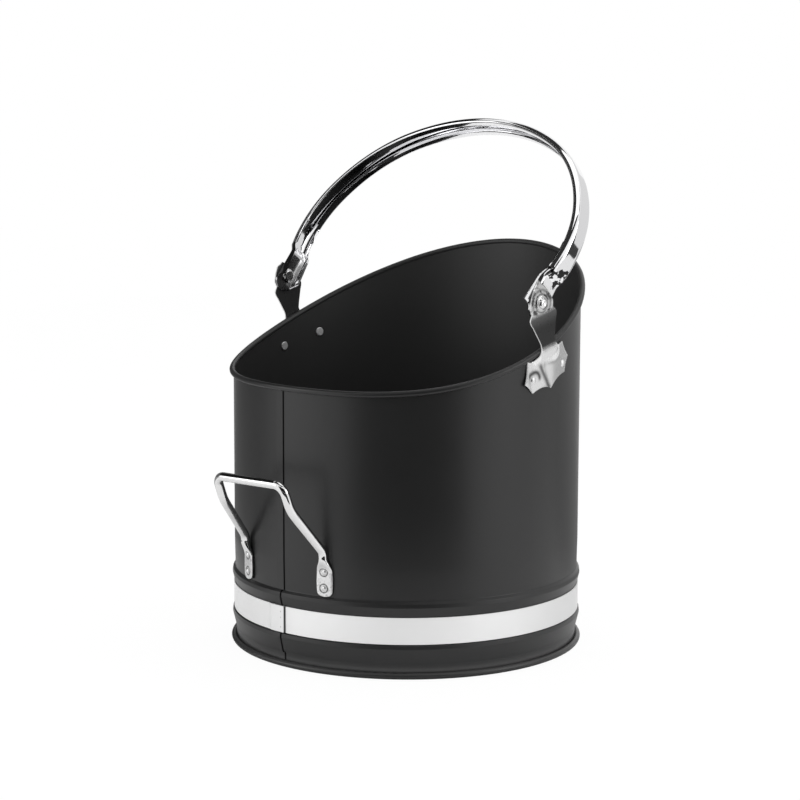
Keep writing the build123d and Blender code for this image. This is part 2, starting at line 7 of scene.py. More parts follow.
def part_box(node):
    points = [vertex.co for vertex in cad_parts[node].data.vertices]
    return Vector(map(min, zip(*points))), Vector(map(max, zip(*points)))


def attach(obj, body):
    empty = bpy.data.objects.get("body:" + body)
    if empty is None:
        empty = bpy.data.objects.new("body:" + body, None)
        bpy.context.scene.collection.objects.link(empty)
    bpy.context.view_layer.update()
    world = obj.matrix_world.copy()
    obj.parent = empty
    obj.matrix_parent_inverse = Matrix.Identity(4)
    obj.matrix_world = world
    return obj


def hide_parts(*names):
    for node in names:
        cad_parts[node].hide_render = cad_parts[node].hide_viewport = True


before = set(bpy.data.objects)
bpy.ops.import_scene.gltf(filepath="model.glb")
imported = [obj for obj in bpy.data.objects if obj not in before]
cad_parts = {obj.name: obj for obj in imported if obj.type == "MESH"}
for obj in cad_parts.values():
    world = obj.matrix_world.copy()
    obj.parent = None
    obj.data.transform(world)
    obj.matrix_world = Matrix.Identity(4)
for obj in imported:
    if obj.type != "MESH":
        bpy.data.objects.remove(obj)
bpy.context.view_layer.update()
bpy.ops.object.select_all(action="DESELECT")

# Camera: the photograph's eye, low in front of the bucket between the seam and the near ear,
# looking slightly down at the middle of the wall.
eye = Vector((1.5929, -1.6412, 0.5879))
aim = Vector((-0.00454, -0.00443, 0.22981))
roll = math.radians(0.17)
camera_data = bpy.data.cameras.new("product_camera")
camera_data.lens = 108.84
camera_data.sensor_width = 36.0
camera_data.clip_start = 0.1
camera_data.clip_end = 20.0
camera = bpy.data.objects.new("product_camera", camera_data)
bpy.context.scene.collection.objects.link(camera)
turned = (aim - eye).to_track_quat("-Z", "Y").to_matrix().to_4x4()
camera.matrix_world = Matrix.Translation(eye) @ turned @ Matrix.Rotation(roll, 4, "Z")
bpy.context.scene.camera = camera
bpy.context.scene.view_settings.view_transform = "Standard"

# Studio: a white surround and three plain soft boxes. The camera and polished metal see the
# surround fully white, and the rest of the object gets a little less light from it.
world = bpy.data.worlds.new("studio")
bpy.context.scene.world = world
world.use_nodes = True
tree = world.node_tree
tree.nodes.clear()
rays = tree.nodes.new("ShaderNodeLightPath")
either = tree.nodes.new("ShaderNodeMath")
either.operation = "MAXIMUM"
choose = tree.nodes.new("ShaderNodeMixShader")
for socket, ray in enumerate(("Is Camera Ray", "Is Glossy Ray")):
    tree.links.new(rays.outputs[ray], either.inputs[socket])
tree.links.new(either.outputs[0], choose.inputs[0])
for socket, strength in ((1, 0.85), (2, 1.0)):
    surround = tree.nodes.new("ShaderNodeBackground")
    surround.inputs["Color"].default_value = (1.0, 1.0, 1.0, 1.0)
    surround.inputs["Strength"].default_value = strength
    tree.links.new(surround.outputs[0], choose.inputs[socket])
world_output = tree.nodes.new("ShaderNodeOutputWorld")
tree.links.new(choose.outputs[0], world_output.inputs["Surface"])

lamp_aim = Vector((0.0, 0.0, 0.2))
for name, place, size, power in (
    ("left_softbox", (-1.2, -1.75, 0.75), 1.1, 5.0),
    ("right_softbox", (1.9, 1.0, 0.9), 1.2, 8.0),
    ("top_softbox", (0.2, 0.4, 2.0), 1.4, 8.0),
):
    lamp_data = bpy.data.lights.new(name, "AREA")
    lamp_data.shape = "SQUARE"
    lamp_data.size = size
    lamp_data.energy = power
    lamp = bpy.data.objects.new(name, lamp_data)
    bpy.context.scene.collection.objects.link(lamp)
    lamp.location = place
    lamp.rotation_euler = (lamp_aim - Vector(place)).to_track_quat("-Z", "Y").to_euler()


# Floor: a sheet of matt white paper under the foot. It keeps the bucket's soft shadow and shows
# nearly white to the camera.
class Signal:
    """A socket in a finish's nodes; arithmetic on it adds Math nodes."""

    def __init__(self, finish, socket):
        self.finish = finish
        self.socket = socket

    def math(self, operation, *values):
        return self.finish.node("ShaderNodeMath", {"operation": operation}, dict(enumerate(values)))

    def __add__(self, other):
        return self.math("ADD", self, other)

    def __sub__(self, other):
        return self.math("SUBTRACT", self, other)

    def __rsub__(self, other):
        return self.math("SUBTRACT", other, self)

    def __mul__(self, other):
        return self.math("MULTIPLY", self, other)

    def __truediv__(self, other):
        return self.math("DIVIDE", self, other)

    def __rtruediv__(self, other):
        return self.math("DIVIDE", other, self)

    def __pow__(self, other):
        return self.math("POWER", self, other)

    def __rpow__(self, other):
        return self.math("POWER", other, self)

    def hump(self, middle, width):
        """1 at middle and falling off within width on either side."""
        away = (self - middle) / width
        return math.e ** (away * away * -1.0)

    def step(self, start, end):
        """0 up to start, 1 from end, smooth between; start may be the greater."""
        settings = {"interpolation_type": "SMOOTHSTEP"}
        return self.finish.node("ShaderNodeMapRange", settings, {0: self, 1: start, 2: end})

    __radd__ = __add__
    __rmul__ = __mul__


class Finish:
    """A material built from nodes, with one method that adds any node."""

    def __init__(self, name):
        self.material = bpy.data.materials.new(name)
        self.material.use_nodes = True
        self.tree = self.material.node_tree
        self.tree.nodes.clear()

    def node(self, kind, settings=None, values=None, output=0):
        """Adds a node, its settings first and then its sockets, and gives one of its outputs."""
        made = self.tree.nodes.new(kind)
        for key, setting in (settings or {}).items():
            setattr(made, key, setting)
        for key, value in (values or {}).items():
            socket = made.inputs[key]
            if isinstance(value, Signal):
                self.tree.links.new(value.socket, socket)
            else:
                socket.default_value = value
        return Signal(self, made.outputs[output])

    def place(self):
        """Where on the piece, in its own frame, in metres."""
        return self.node("ShaderNodeTexCoord", output="Object")

    def parts(self, vector):
        """The three numbers of a vector."""
        return [self.node("ShaderNodeSeparateXYZ", {}, {0: vector}, output=axis) for axis in range(3)]

    def axes(self):
        """The three coordinates of the place, in millimetres."""
        return [coordinate * 1000.0 for coordinate in self.parts(self.place())]

    def normal(self):
        """The three parts of the surface's direction, in the piece's own frame."""
        return self.parts(self.node("ShaderNodeTexCoord", output="Normal"))

    def noise(self, scale, detail, at=None):
        """Soft mottling, with scale in waves to the metre."""
        values = {"Vector": at or self.place(), "Scale": scale, "Detail": detail}
        return self.node("ShaderNodeTexNoise", {}, values)

    def colour(self, value):
        """A colour or a signal as it is, and a plain number as a grey."""
        return value if isinstance(value, (Signal, tuple)) else (value, value, value, 1.0)

    def blend(self, share, under, over):
        """The colour under, going over to the second where share is 1."""
        values = {"Factor": share, 6: self.colour(under), 7: self.colour(over)}
        return self.node("ShaderNodeMix", {"data_type": "RGBA"}, values, output=2)

    def bump(self, strength, distance, height):
        """The surface's direction, tipped by a height whose full reach is distance metres."""
        values = {"Strength": strength, "Distance": distance, "Height": height}
        return self.node("ShaderNodeBump", {}, values)

    def surface(self, colour, metallic, roughness, normal=None):
        """The piece's own shader."""
        values = {"Base Color": self.colour(colour), "Metallic": metallic, "Roughness": roughness}
        if normal:
            values["Normal"] = normal
        return self.node("ShaderNodeBsdfPrincipled", {}, values)

    def glow(self, level, strength):
        """A shader that shows one even grey, whatever the light."""
        return self.node("ShaderNodeEmission", {}, {"Color": self.colour(level), "Strength": strength})

    def shadow(self, level):
        """A shader for a gap too narrow for light to reach its bottom."""
        return self.node("ShaderNodeBsdfDiffuse", {}, {"Color": self.colour(level)})

    def mix(self, share, under, over):
        """One shader going over to a second where share is 1."""
        return self.node("ShaderNodeMixShader", {}, {0: share, 1: under, 2: over})

    def finish_with(self, shader):
        """Ends the nodes with a shader and gives the material."""
        material_output = self.tree.nodes.new("ShaderNodeOutputMaterial")
        self.tree.links.new(shader.socket, material_output.inputs["Surface"])
        return self.material


bpy.ops.mesh.primitive_plane_add(size=8.0, location=(0.0, 0.0, -0.0005))
floor = bpy.context.active_object
floor.name = "paper_floor"
paper = Finish("white_paper")
shown_white = paper.node("ShaderNodeLightPath", output="Is Camera Ray") * 0.93
lit_paper = paper.surface(0.92, 0.0, 0.8)
white_paper = paper.finish_with(paper.mix(shown_white, lit_paper, paper.glow(1.0, 1.015)))
floor.data.materials.append(white_paper)


# Flags: grey cards that only polished metal and enamel see. Dark ones hang behind the camera,
# overhead and high on the left, lighter ones stand on the left and at the back, and a small dark
# one on the right darkens the ears.
def hang(flag, name, level):
    """Names a card, keeps it to reflections alone and gives it its grey."""
    flag.name = name
    flag.visible_camera = False
    flag.visible_diffuse = False
    flag.visible_shadow = False
    card = Finish(name + "_card")
    flag.data.materials.append(card.finish_with(card.glow(level, 1.0)))


flag_aim = Vector((0.0, 0.0, 0.3))
for name, place, size, level in (
    ("dark_flag", (1.95, -2.0, 0.85), (4.0, 2.8), 0.01),
    ("left_flag", (-2.3, 0.1, 0.8), (3.6, 2.4), 0.13),
    ("back_flag", (0.9, 2.6, 0.8), (4.2, 2.8), 0.75),
    ("top_flag", (0.0, 0.0, 2.6), (3.4, 3.4), 0.03),
    ("high_left_flag", (-2.0, -0.1, 1.7), (3.2, 1.3), 0.01),
    ("small_flag", (1.21, 1.08, 0.42), (0.55, 0.42), 0.05),
):
    bpy.ops.mesh.primitive_plane_add(size=1.0)
    flag = bpy.context.active_object
    flag.scale = (size[0], size[1], 1.0)
    flag.location = place
    flag.rotation_euler = (flag_aim - flag.location).to_track_quat("Z", "Y").to_euler()
    hang(flag, name, level)

# Floor flags: wedges of grey paper on the floor, which only polished metal and enamel see. Each
# lies between two directions in degrees, from near the bucket out to its standing flag.
wedge_reach = 2.8
wedge_height = 0.002
for name, start, end, near, level in (
    ("front_floor_flag", -80.0, -9.0, 0.55, 0.03),
    ("left_floor_flag", 160.0, 222.0, 0.55, 0.30),
    ("back_floor_flag", 60.0, 105.0, 0.36, 0.42),
    ("right_floor_flag", 22.0, 60.0, 0.55, 0.85),
):
    bpy.ops.mesh.primitive_plane_add(size=1.0)
    flag = bpy.context.active_object
    for vertex in flag.data.vertices:
        reach = near if vertex.co.y < 0.0 else wedge_reach
        angle = math.radians(start if vertex.co.x < 0.0 else end)
        vertex.co = (reach * math.cos(angle), reach * math.sin(angle), wedge_height)
    hang(flag, name, level)

# Bucket wall and floor pan: rolled sheet in satin black stove enamel, sprayed on, so it has a
# faint grain and a slightly cloudy gloss. It lies duller inside, and its tone there is painted
# lighter, as painted light. A lighter band just above the rolled foot is painted light that lifts
# the shade in that crease. The fold of the lock seam leaves a gap, darkened with painted shade,
# which steps aside where it crosses the beads.
wall_radius = 165.0
groove_height = 7.0
seam_gap_along = 4.5
seam_gap_width = 0.75
bead_step = 2.6
foot_top = 5.8


def dress(node, material):
    """Puts one finish on a CAD node."""
    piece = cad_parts[node]
    piece.data.materials.clear()
    piece.data.materials.append(material)


def round_wall(across, depth):
    """Millimetres round the wall from the middle of the seam side, growing towards +X."""
    return across.math("ARCTAN2", across, depth * -1.0) * wall_radius


def between(height, low, high, fade=0.5):
    """1 from low to high, faded in and out."""
    return height.step(low, low + fade) * height.step(high + fade, high)


enamel = Finish("black_stove_enamel")
cloud = enamel.noise(9.0, 3.0)
grain = enamel.noise(1400.0, 2.0)
across, depth, height = enamel.axes()
facing_across, facing_depth, _ = enamel.normal()
inside = (across * facing_across + depth * facing_depth).step(0.0, -20.0)
# A lighter band just above the rolled foot: painted light that lifts the shade of the crease there.
painted_light_above_foot = height.hump(groove_height, 2.6) * (1.0 - inside)
enamel_tone = enamel.blend(cloud, 0.009, (0.013, 0.013, 0.0134, 1.0))
# Inside, the enamel's tone is painted lighter: painted light.
enamel_tone = enamel.blend(inside, enamel_tone, 0.022)
enamel_tone = enamel.blend(painted_light_above_foot, enamel_tone, 0.055)
on_beads = between(height, 12.5, 31.0) + between(height, 56.0, 71.5)
from_gap = round_wall(across, depth) - (seam_gap_along - on_beads * bead_step)
rim_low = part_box("rim_wire")[0][2] * 1000.0
# The seam's gap is drawn as painted shade: a near-black shader along it.
seam_gap_shade = from_gap.hump(0.0, seam_gap_width)
seam_gap_shade = seam_gap_shade * height.step(foot_top, foot_top + 0.4) * height.step(rim_low + 0.5, rim_low - 0.5)
enamel_surface = enamel.surface(
    enamel_tone,
    0.0,
    0.32 + cloud * 0.08 + inside * 0.12,
    enamel.bump(0.25, 0.00006, grain),
)
black_enamel = enamel.finish_with(enamel.mix(seam_gap_shade, enamel_surface, enamel.shadow(0.002)))
dress("body_shell", black_enamel)
dress("base_pan", black_enamel)

# Rim and foot wires: plain drawn steel, sealed inside the rolled edges.
wire_steel = Finish("drawn_wire")
drawn = wire_steel.noise(700.0, 2.0)
wire_surface = wire_steel.surface((0.42, 0.42, 0.43, 1.0), 1.0, 0.35 + drawn * 0.1)
wire_material = wire_steel.finish_with(wire_surface)
dress("rim_wire", wire_material)
dress("foot_wire", wire_material)

# Trim band: a strip of satin stainless steel, brushed along its length, lapped beside the seam
# and held there by spot welds. The lap's edge is drawn as a line of painted shade, and the band
# turns darker towards the right ear.
lap_along = 6.05
weld_along = 1.2
right_darkening_along = 320.0
satin = Finish("satin_strip")
scratches = {"Vector": satin.place(), "Scale": (6.0, 6.0, 900.0)}
brush = satin.noise(3.0, 4.0, at=satin.node("ShaderNodeMapping", {}, scratches))
clouds = satin.noise(8.0, 2.0)
across, depth, height = satin.axes()
along = round_wall(across, depth)
# The lap's edge is a line of painted shade.
lap_shade_line = along.hump(lap_along, 1.0)
spot_welds = height.hump(51.5, 0.6) + height.hump(46.0, 0.5) + height.hump(37.0, 0.6)
spot_welds = along.hump(weld_along, 0.5) * spot_welds
# The band turns darker towards the right ear, round the wall.
right_darkening = along.hump(right_darkening_along, 95.0) * (0.55 + clouds * 0.6)
band_tone = satin.blend(clouds.step(0.35, 0.65), 0.84, 0.93)
band_tone = satin.blend(right_darkening, band_tone, 0.68)
band_tone = satin.blend(spot_welds * 0.55, band_tone, 0.02)
satin_surface = satin.surface(
    band_tone,
    0.40,
    0.34 + brush * 0.12,
    satin.bump(0.3, 0.00005, brush),
)
satin_strip = satin.finish_with(satin.mix(lap_shade_line, satin_surface, satin.shadow(0.004)))
dress("trim_band", satin_strip)

# Ears: steel pressings, plated, riveted to the wall and joggled out over the rolled rim up to the
# pivot. A stamped sheet isn't dead flat: its plate is creased and stands off the wall on the low
# side, its reflections are mottled, and the left one's head is bent down at the tip. The dark arcs,
# streaks and rings on the plate are painted reflections, with some mottled tarnish on the head, and
# the neck's near-black is a painted reflection.
MM = 0.001
pivot_height = 336.8
ear_tilt = math.radians(13.5)
ear_drop = 81.6
ear_sheet = 1.5
ear_wall = 165.15
ear_clear = 169.2
ear_head_sink = 1.4
ear_half_width = 37.0
ear_bottom = -84.0
ear_reach = 108.0
blade_low, blade_length = -47.0, 38.0
rivet_swell, swell_across, swell_up, swell_spread = 0.35, -21.0, -64.0, 60.0
crease_swell, crease_across, crease_up, crease_slant, crease_width = 0.3, -7.0, -70.0, 0.12, 3.0
plate_stand_off = 2.0
left_tip_drop = 7.0


def shaped_grid(name, columns, rows, place):
    """Grid primitive whose points go to place(u, v), in millimetres, u and v running 0 to 1."""
    bpy.ops.object.select_all(action="DESELECT")
    bpy.ops.mesh.primitive_grid_add(x_subdivisions=columns, y_subdivisions=rows, size=2.0)
    piece = bpy.context.active_object
    piece.name = name
    for vertex in piece.data.vertices:
        vertex.co = Vector(place((vertex.co.x + 1.0) / 2.0, (vertex.co.y + 1.0) / 2.0)) * MM
    return piece


def weld(piece, gap=0.00001):
    """Merges a piece's coinciding points and turns its faces outward."""
    bpy.context.view_layer.objects.active = piece
    bpy.ops.object.mode_set(mode="EDIT")
    bpy.ops.mesh.select_all(action="SELECT")
    bpy.ops.mesh.remove_doubles(threshold=gap)
    bpy.ops.mesh.normals_make_consistent(inside=False)
    bpy.ops.object.mode_set(mode="OBJECT")


def apply_modifier(piece, kind, **settings):
    """Adds one modifier with its settings and applies it."""
    modifier = piece.modifiers.new(kind.lower(), kind)
    for key, setting in settings.items():
        setattr(modifier, key, setting)
    bpy.context.view_layer.objects.active = piece
    bpy.ops.object.modifier_apply(modifier=modifier.name)


def cut(piece, cutter, operation):
    """Cuts a piece with a closed shape, which goes away after."""
    apply_modifier(piece, "BOOLEAN", object=cutter, operation=operation, solver="EXACT")
    bpy.data.objects.remove(cutter)


def bore(piece, radius, length, x):
    """Drills a piece on the line through both pivots."""
    bpy.ops.mesh.primitive_cylinder_add(
        vertices=32,
        radius=radius * MM,
        depth=length * MM,
        location=(x * MM, 0.0, pivot_height * MM),
        rotation=(0.0, math.pi / 2, 0.0),
    )
    cut(piece, bpy.context.active_object, "DIFFERENCE")


def smooth(piece, degrees_between):
    """Shades a piece smooth, but for its sharp edges."""
    bpy.ops.object.select_all(action="DESELECT")
    piece.select_set(True)
    bpy.context.view_layer.objects.active = piece
    bpy.ops.object.shade_smooth_by_angle(angle=math.radians(degrees_between))


def curve_through(points, steps=6):
    """Points on a Catmull-Rom curve through the given ones."""
    padded = [points[0]] + list(points) + [points[-1]]
    found = []
    for spots in zip(padded, padded[1:], padded[2:], padded[3:]):
        for step in range(steps):
            t = step / steps
            found.append(tuple(
                0.5 * (
                    2 * q
                    + (r - p) * t
                    + (2 * p - 5 * q + 4 * r - w) * t**2
                    + (3 * q - p - 3 * r + w) * t**3
                )
                for p, q, r, w in zip(*spots)
            ))
    return found + [points[-1]]


def scallops(points, steps=6):
    """Points on the hollow arcs between a plate's corners."""
    found = []
    for spots in zip(points[0::2], points[1::2], points[2::2]):
        for step in range(steps):
            t = step / steps
            weights = ((1 - t) * (1 - 2 * t), 4 * t * (1 - t), t * (2 * t - 1))
            found.append(tuple(sum(weight * spot[i] for weight, spot in zip(weights, spots)) for i in (0, 1)))
    return found + [points[-1]]


def ease(start, end, value):
    """Smooth step from 0 at start to 1 at end."""
    share = min(max((value - start) / (end - start), 0.0), 1.0)
    return share * share * (3.0 - 2.0 * share)


def on_ear(x, across, up):
    """Place in the bucket of a spot measured across and up the right ear from its pivot."""
    return (
        x,
        across * math.cos(ear_tilt) - up * math.sin(ear_tilt),
        pivot_height + across * math.sin(ear_tilt) + up * math.cos(ear_tilt),
    )


def ear_x(across, up):
    """Distance of the ear's inner face from the middle plane of the bucket."""
    depth = on_ear(0.0, across, up)[1]
    on_plate = math.sqrt(ear_wall**2 - depth**2)
    on_blade = ear_clear - ear_head_sink * min(max((up - blade_low) / blade_length, 0.0), 1.0)
    swell = rivet_swell * math.exp(-((across - swell_across) ** 2 + (up - swell_up) ** 2) / swell_spread)
    stand_off = plate_stand_off * ease(-25.0, -36.0, across) * ease(-45.0, -55.0, up)
    from_crease = (across - crease_across + crease_slant * (up - crease_up)) / crease_width
    crease = crease_swell * math.exp(-(from_crease**2)) * ease(-50.0, -60.0, up)
    corners = ease(9.5, 21.0, abs(across)) * (1.0 - ease(-44.0, -40.0, up))
    joggle = ease(-61.0, -45.0, up) * (1.0 - corners)
    return on_plate + (on_blade - on_plate) * joggle + swell + stand_off + crease


def ear_point(u, v):
    """Point of the ear's sheet."""
    across = -ear_half_width + 2.0 * ear_half_width * u
    up = ear_bottom + ear_reach * v
    return on_ear(ear_x(across, up), across, up)


# The ear's outline from its tip down to its foot, in shares of its drop: across and up.
head = ((0.0, 0.266), (0.104, 0.158), (0.184, 0.012), (0.189, -0.035), (0.176, -0.086))
shoulder = ((0.176, -0.086), (0.216, -0.138), (0.214, -0.185), (0.192, -0.233))
high_neck = (
    (0.192, -0.233), (0.124, -0.417), (0.121, -0.472), (0.148, -0.522),
    (0.205, -0.556), (0.275, -0.572), (0.335, -0.562),
)
high_plate = (
    (0.335, -0.562), (0.367, -0.660), (0.432, -0.768), (0.360, -0.838),
    (0.315, -0.922), (0.148, -0.930), (0.0, -1.0),
)
low_neck = (
    (0.192, -0.233), (0.124, -0.417), (0.114, -0.472), (0.123, -0.523),
    (0.163, -0.572), (0.239, -0.607), (0.318, -0.590),
)
low_plate = (
    (0.318, -0.590), (0.362, -0.712), (0.428, -0.820), (0.368, -0.880),
    (0.322, -0.954), (0.150, -0.940), (0.0, -1.0),
)
outline = []
for side, neck, plate in ((1, high_neck, high_plate), (-1, low_neck, low_plate)):
    run = curve_through(head)[:-1] + curve_through(shoulder)[:-1] + curve_through(neck)[:-1] + scallops(plate)
    run = [(side * across * ear_drop, up * ear_drop) for across, up in run]
    outline += run[:-1] if side > 0 else run[:0:-1]

punch_from, punch_reach = 150.0, 40.0
bpy.ops.mesh.primitive_circle_add(vertices=len(outline), fill_type="NGON", radius=1.0)
ear_punch = bpy.context.active_object
for vertex, (across, up) in zip(ear_punch.data.vertices, outline):
    vertex.co = Vector(on_ear(punch_from, across, up)) * MM
bpy.ops.object.mode_set(mode="EDIT")
bpy.ops.mesh.select_all(action="SELECT")
bpy.ops.mesh.extrude_region_move(TRANSFORM_OT_translate={"value": (punch_reach * MM, 0.0, 0.0)})
bpy.ops.mesh.select_all(action="SELECT")
bpy.ops.mesh.normals_make_consistent(inside=False)
bpy.ops.object.mode_set(mode="OBJECT")

ear_right = shaped_grid("ear_pressing_right", 74, 108, ear_point)
apply_modifier(ear_right, "SOLIDIFY", thickness=ear_sheet * MM, offset=1.0)
weld(ear_right)
cut(ear_right, ear_punch, "INTERSECT")
bore(ear_right, 3.02, 30.0, 168.0)
weld(ear_right, 0.00002)
apply_modifier(
    ear_right,
    "BEVEL",
    width=0.55 * MM,
    segments=2,
    limit_method="ANGLE",
    angle_limit=math.radians(50.0),
)
smooth(ear_right, 35.0)
ear_left = ear_right.copy()
ear_left.data = ear_right.data.copy()
ear_left.name = "ear_pressing_left"
bpy.context.scene.collection.objects.link(ear_left)
for vertex in ear_left.data.vertices:
    up = (vertex.co.z / MM - pivot_height) / math.cos(ear_tilt)
    vertex.co.z -= left_tip_drop * MM * ease(8.0, 22.0, up)
    vertex.co.x = -vertex.co.x
ear_left.data.flip_normals()

plated = Finish("plated_pressing")
waves = plated.noise(55.0, 2.0)
specks = plated.noise(600.0, 3.0)
wander = (plated.noise(90.0, 2.0) - 0.5) * 3.0
ear_side, ear_depth, ear_height = plated.axes()
ear_rise = ear_height - pivot_height
ear_across = ear_depth * math.cos(ear_tilt) + ear_rise * math.sin(ear_tilt)
ear_up = ear_rise * math.cos(ear_tilt) - ear_depth * math.sin(ear_tilt)
facing_across, _, _ = plated.normal()
on_face = (facing_across * facing_across).step(0.80, 0.93)
on_head = ear_up.step(-11.0, -8.0)
on_neck = ear_up.step(-6.0, -12.0) * ear_up.step(-43.0, -38.0) * on_face
ear_inside = (facing_across * ear_side).step(0.0, -40.0)

from_rivet = ((ear_across + 22.0) ** 2.0 + (ear_up + 67.0) ** 2.0) ** 0.5
arch = (from_rivet + wander).hump(7.6, 2.2) * ear_up.step(-71.0, -66.0) * ear_across.step(-30.0, -27.0)
streak = (ear_across + (ear_up + 66.0) * 0.35 + wander * 0.6).hump(-8.0, 2.6)
streak = streak * ear_up.step(-50.0, -58.0) * ear_up.step(-82.0, -79.0)
low_edge = (ear_up - ear_across * 0.1).step(-73.0, -79.0) * ear_across.step(-4.0, -10.0)
from_pivot = (ear_across * ear_across + ear_up * ear_up) ** 0.5
head_marks = plated.noise(210.0, 3.0).step(0.47, 0.62) * on_head * (from_pivot.step(6.5, 9.0) * 0.6 + 0.2)
head_rings = (from_pivot + wander * 0.5).hump(8.3, 0.9) + (from_pivot + wander * 0.4).hump(12.0, 1.6) * 0.8
# Dark arcs, streaks, a low edge and rings on the plate: painted reflections, with mottled tarnish on the
# head.
painted_reflection_and_tarnish = arch + streak * 0.9 + low_edge * 0.5 + head_marks * 0.75 + head_rings * on_head * 0.75
# The neck's near-black tone is a painted reflection.
neck_painted_reflection = on_neck * (0.97 - ear_up.step(-24.0, -6.0) * 0.17)
dull = plated.noise(130.0, 3.0).step(0.45, 0.75) * 0.16
ear_tone = plated.blend(painted_reflection_and_tarnish, 0.80, 0.10)
ear_tone = plated.blend(neck_painted_reflection, ear_tone, 0.035)
ear_tone = plated.blend(ear_inside * (0.99 - dull * 0.4), ear_tone, 0.028)
plated_surface = plated.surface(
    ear_tone,
    on_face * (1.0 - ear_inside),
    0.12 + specks * 0.10 + on_neck * 0.12,
    plated.bump(0.35, 0.0006, waves * (1.0 - on_neck)),
)
plated_material = plated.finish_with(plated_surface)
for piece, node in ((ear_right, "ear_right"), (ear_left, "ear_left")):
    piece.data.materials.append(plated_material)
    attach(piece, "bucket")
    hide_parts(node)

# Rivets, pivots and washers: plated steel, headed cold. The hammer leaves the rivets rougher than
# the turned pivots, most of all their tails inside the bucket. The washers are slightly cupped.
headed = Finish("plated_rivet_steel")
hammer = headed.noise(420.0, 2.0)
across, depth, height = headed.axes()
from_middle = (across * across + depth * depth) ** 0.5
on_rivet = height.step(317.0, 313.0)
on_tail = from_middle.step(164.8, 164.4) * on_rivet
headed_surface = headed.surface(
    0.82,
    1.0,
    0.14 + hammer * 0.12 + on_rivet * 0.16 + on_tail * 0.2,
    headed.bump(0.3, 0.0002, hammer),
)
headed_material = headed.finish_with(headed_surface)

cupped = Finish("cupped_washer")
_, depth, height = cupped.axes()
from_pivot = (depth**2.0 + (height - pivot_height) ** 2.0) ** 0.5
cup = from_pivot.step(7.2, 4.6) + cupped.noise(500.0, 2.0) * 0.1
cup_surface = cupped.surface(
    0.6,
    1.0,
    0.16 + cupped.noise(800.0, 2.0) * 0.1,
    cupped.bump(1.0, 0.0011, cup),
)
washer_material = cupped.finish_with(cup_surface)
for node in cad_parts:
    if node.startswith(("ear_rivet", "grab_rivet", "pivot_")):
        dress(node, headed_material)
    if node.startswith(("inner_washer", "outer_washer")):
        dress(node, washer_material)

# Bail: one strip rolled into a channel with turned-in lips, bent to three arcs a side, flattened
# at each end into a tab with two flanges, then polished and plated. It hangs on the pivots and is
# drawn leaning back from upright, as photographed.
bail_lean = math.radians(38.6)
bail_up = Vector((0.0, math.sin(bail_lean), math.cos(bail_lean)))
bail_normal = Vector((0.0, -math.cos(bail_lean), math.sin(bail_lean)))
bail_half = 11.3
bail_sheet = 1.2
bail_rise = 196.3
bail_arcs = ((217.0, 25.7), (150.8, 64.4), (116.2, 100.4))
bail_draw_in = 0.9998  # keeps the arms just inside the solid's width
channel_depth, channel_corner = 7.3, 5.5
lip_width, lip_bend = 6.0, 1.7
tab_x = 167.5
tab_top = 22.0
tab_depth, tab_corner = 6.8, 2.2
tab_shoulder, tab_end = -9.0, -16.0
tab_sag = 8.0
tab_tip_half = 1.25


def corner_arc(centre, radius, start, end, steps=6):
    """Points on an arc between two angles in degrees."""
    angles = [math.radians(start + (end - start) * step / steps) for step in range(steps + 1)]
    return [(centre[0] + radius * math.cos(a), centre[1] + radius * math.sin(a)) for a in angles]


def channel_loop(half, depth, corner, lip, lip_bend):
    """Closed outline of the rolled strip, its back on y 0 and its lips turned in below."""
    loops = []
    for inset in (0.0, bail_sheet):
        bend, turn = max(corner - inset, 0.001), max(lip_bend - inset, 0.001)
        right = [(half - lip, inset - depth)]
        right += corner_arc((half - inset - turn, inset + turn - depth), turn, -90.0, 0.0)
        right += corner_arc((half - inset - bend, -inset - bend), bend, 0.0, 90.0)
        edge = right[-1][0]
        back = [(edge * (1.0 - step / 4), -inset) for step in range(1, 8)]
        loops.append(right + back + [(-x, y) for x, y in reversed(right)])
    return loops[0] + loops[1][::-1] + [loops[0][0]]


# Stations from the crown to the tab's end: x, up, turn from level, then channel_loop's values.
stations = []
arc_centre = Vector((0.0, bail_rise - bail_arcs[0][0]))
last_angle = 0.0
for index, (radius, end_angle) in enumerate(bail_arcs):
    if index:
        inward = Vector((-math.sin(math.radians(last_angle)), -math.cos(math.radians(last_angle))))
        arc_centre = arc_centre - inward * (bail_arcs[index - 1][0] - radius)
    steps = max(6, int((end_angle - last_angle) / 2.0))
    for step in range(steps + 1 if index == 2 else steps):
        turn = math.radians(last_angle + (end_angle - last_angle) * step / steps)
        spot = arc_centre + Vector((math.sin(turn), math.cos(turn))) * radius
        lip = lip_width * (1.0 - ease(84.0, 100.0, math.degrees(turn)))
        stations.append((spot.x, spot.y, turn, bail_half, channel_depth, channel_corner, lip, lip_bend))
    last_angle = end_angle
end_x, end_up, end_turn = stations[-1][:3]
for step in range(1, 9):
    share = step / 8
    stations.append((
        end_x + (tab_x - end_x) * ease(0.0, 1.0, share),
        end_up + (tab_top - end_up) * share,
        end_turn + (math.pi / 2 - end_turn) * share,
        bail_half,
        channel_depth + (tab_depth - channel_depth) * share,
        channel_corner + (tab_corner - channel_corner) * share,
        0.0,
        0.0,
    ))
for up, depth, corner in (
    (16.0, 7.6, 2.0),
    (9.0, 8.6, 1.8),
    (2.0, 9.6, 1.7),
    (-3.0, 10.2, 1.7),
    (-6.0, 5.7, 1.5),
    (tab_shoulder, bail_sheet, bail_sheet),
):
    stations.append((tab_x, up, math.pi / 2, bail_half, depth, corner, 0.0, 0.0))
tab_round = (bail_half**2 + tab_sag**2) / (2.0 * tab_sag)
